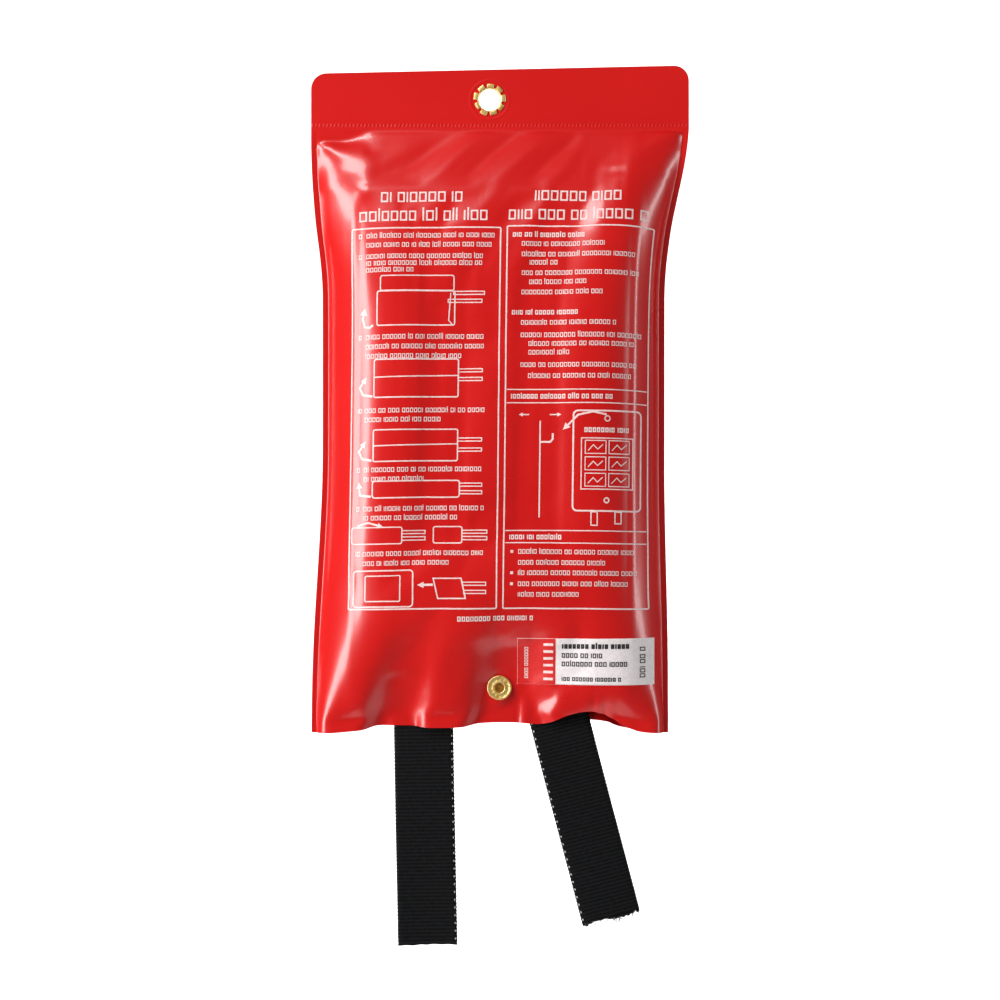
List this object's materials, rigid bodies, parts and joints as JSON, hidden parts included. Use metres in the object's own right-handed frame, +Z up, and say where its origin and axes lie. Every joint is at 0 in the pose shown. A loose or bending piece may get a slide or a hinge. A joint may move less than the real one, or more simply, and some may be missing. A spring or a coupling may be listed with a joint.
{
  "type": "fire blanket",
  "caption": "Folded fire blanket in a soft red PVC wall pouch with a brass hanging eyelet, a press stud and black pull tabs.",
  "frame": {"origin": "centre of the hanging eyelet's hole, midway between the two PVC panels", "axes": "+X to the right and +Z up looking at the instruction side, which faces -Y; the front side faces +Y"},
  "size_m": [0.16, 0.0282, 0.3728],
  "materials": {
    "red_pvc": "soft glossy PVC sheet",
    "brass": "pressed brass, polished",
    "spring_steel": "drawn wire",
    "label_paper": "matt self-adhesive paper",
    "glass_cloth": "woven glass fibre",
    "thread": "sewing thread",
    "black_webbing": "woven polyester webbing"
  },
  "bodies": {
    "pouch": {"rear_panel": "red_pvc", "front_panel": "red_pvc", "hanging_eyelet": "brass"},
    "rear_mouth": {"rear_lip": "red_pvc", "snap_post": "brass", "snap_stud": "brass", "paper_label": "label_paper"},
    "front_mouth": {"front_lip": "red_pvc", "snap_cap": "brass", "snap_socket": "brass", "snap_ring_spring": "spring_steel"},
    "blanket": {"fire_blanket": "glass_cloth", "hem_stitching": "thread", "left_tab_sewn_end": "black_webbing", "right_tab_sewn_end": "black_webbing", "left_tab_stitching": "thread", "right_tab_stitching": "thread"},
    "left_pull": {"left_tab": "black_webbing"},
    "right_pull": {"right_tab": "black_webbing"}
  },
  "joints": [
    {"name": "front_mouth_open", "type": "hinge", "parent": "pouch", "child": "front_mouth", "pos_m": [0, 0.0141, -0.226], "axis": [1, 0, 0], "range_deg": [0, 35]},
    {"name": "rear_mouth_open", "type": "hinge", "parent": "pouch", "child": "rear_mouth", "pos_m": [0, -0.0141, -0.226], "axis": [-1, 0, 0], "range_deg": [0, 35]},
    {"name": "blanket_slide", "type": "slide", "parent": "pouch", "child": "blanket", "axis": [0, 0, -1], "range_m": [0, 0.26], "deforming": ["fire_blanket", "hem_stitching", "left_tab_sewn_end", "right_tab_sewn_end", "left_tab_stitching", "right_tab_stitching"]},
    {"name": "left_tab_swing", "type": "hinge", "parent": "blanket", "child": "left_pull", "pos_m": [-0.0279, 0, -0.269], "axis": [0.9999, 0, 0.0157], "range_deg": [-75, 75]},
    {"name": "right_tab_swing", "type": "hinge", "parent": "blanket", "child": "right_pull", "pos_m": [0.0316, 0, -0.2705], "axis": [0.9686, 0, 0.2487], "range_deg": [-75, 75]}
  ],
  "couplings": [
    {"joint": "rear_mouth_open", "follows": "front_mouth_open", "ratio": 1}
  ]
}
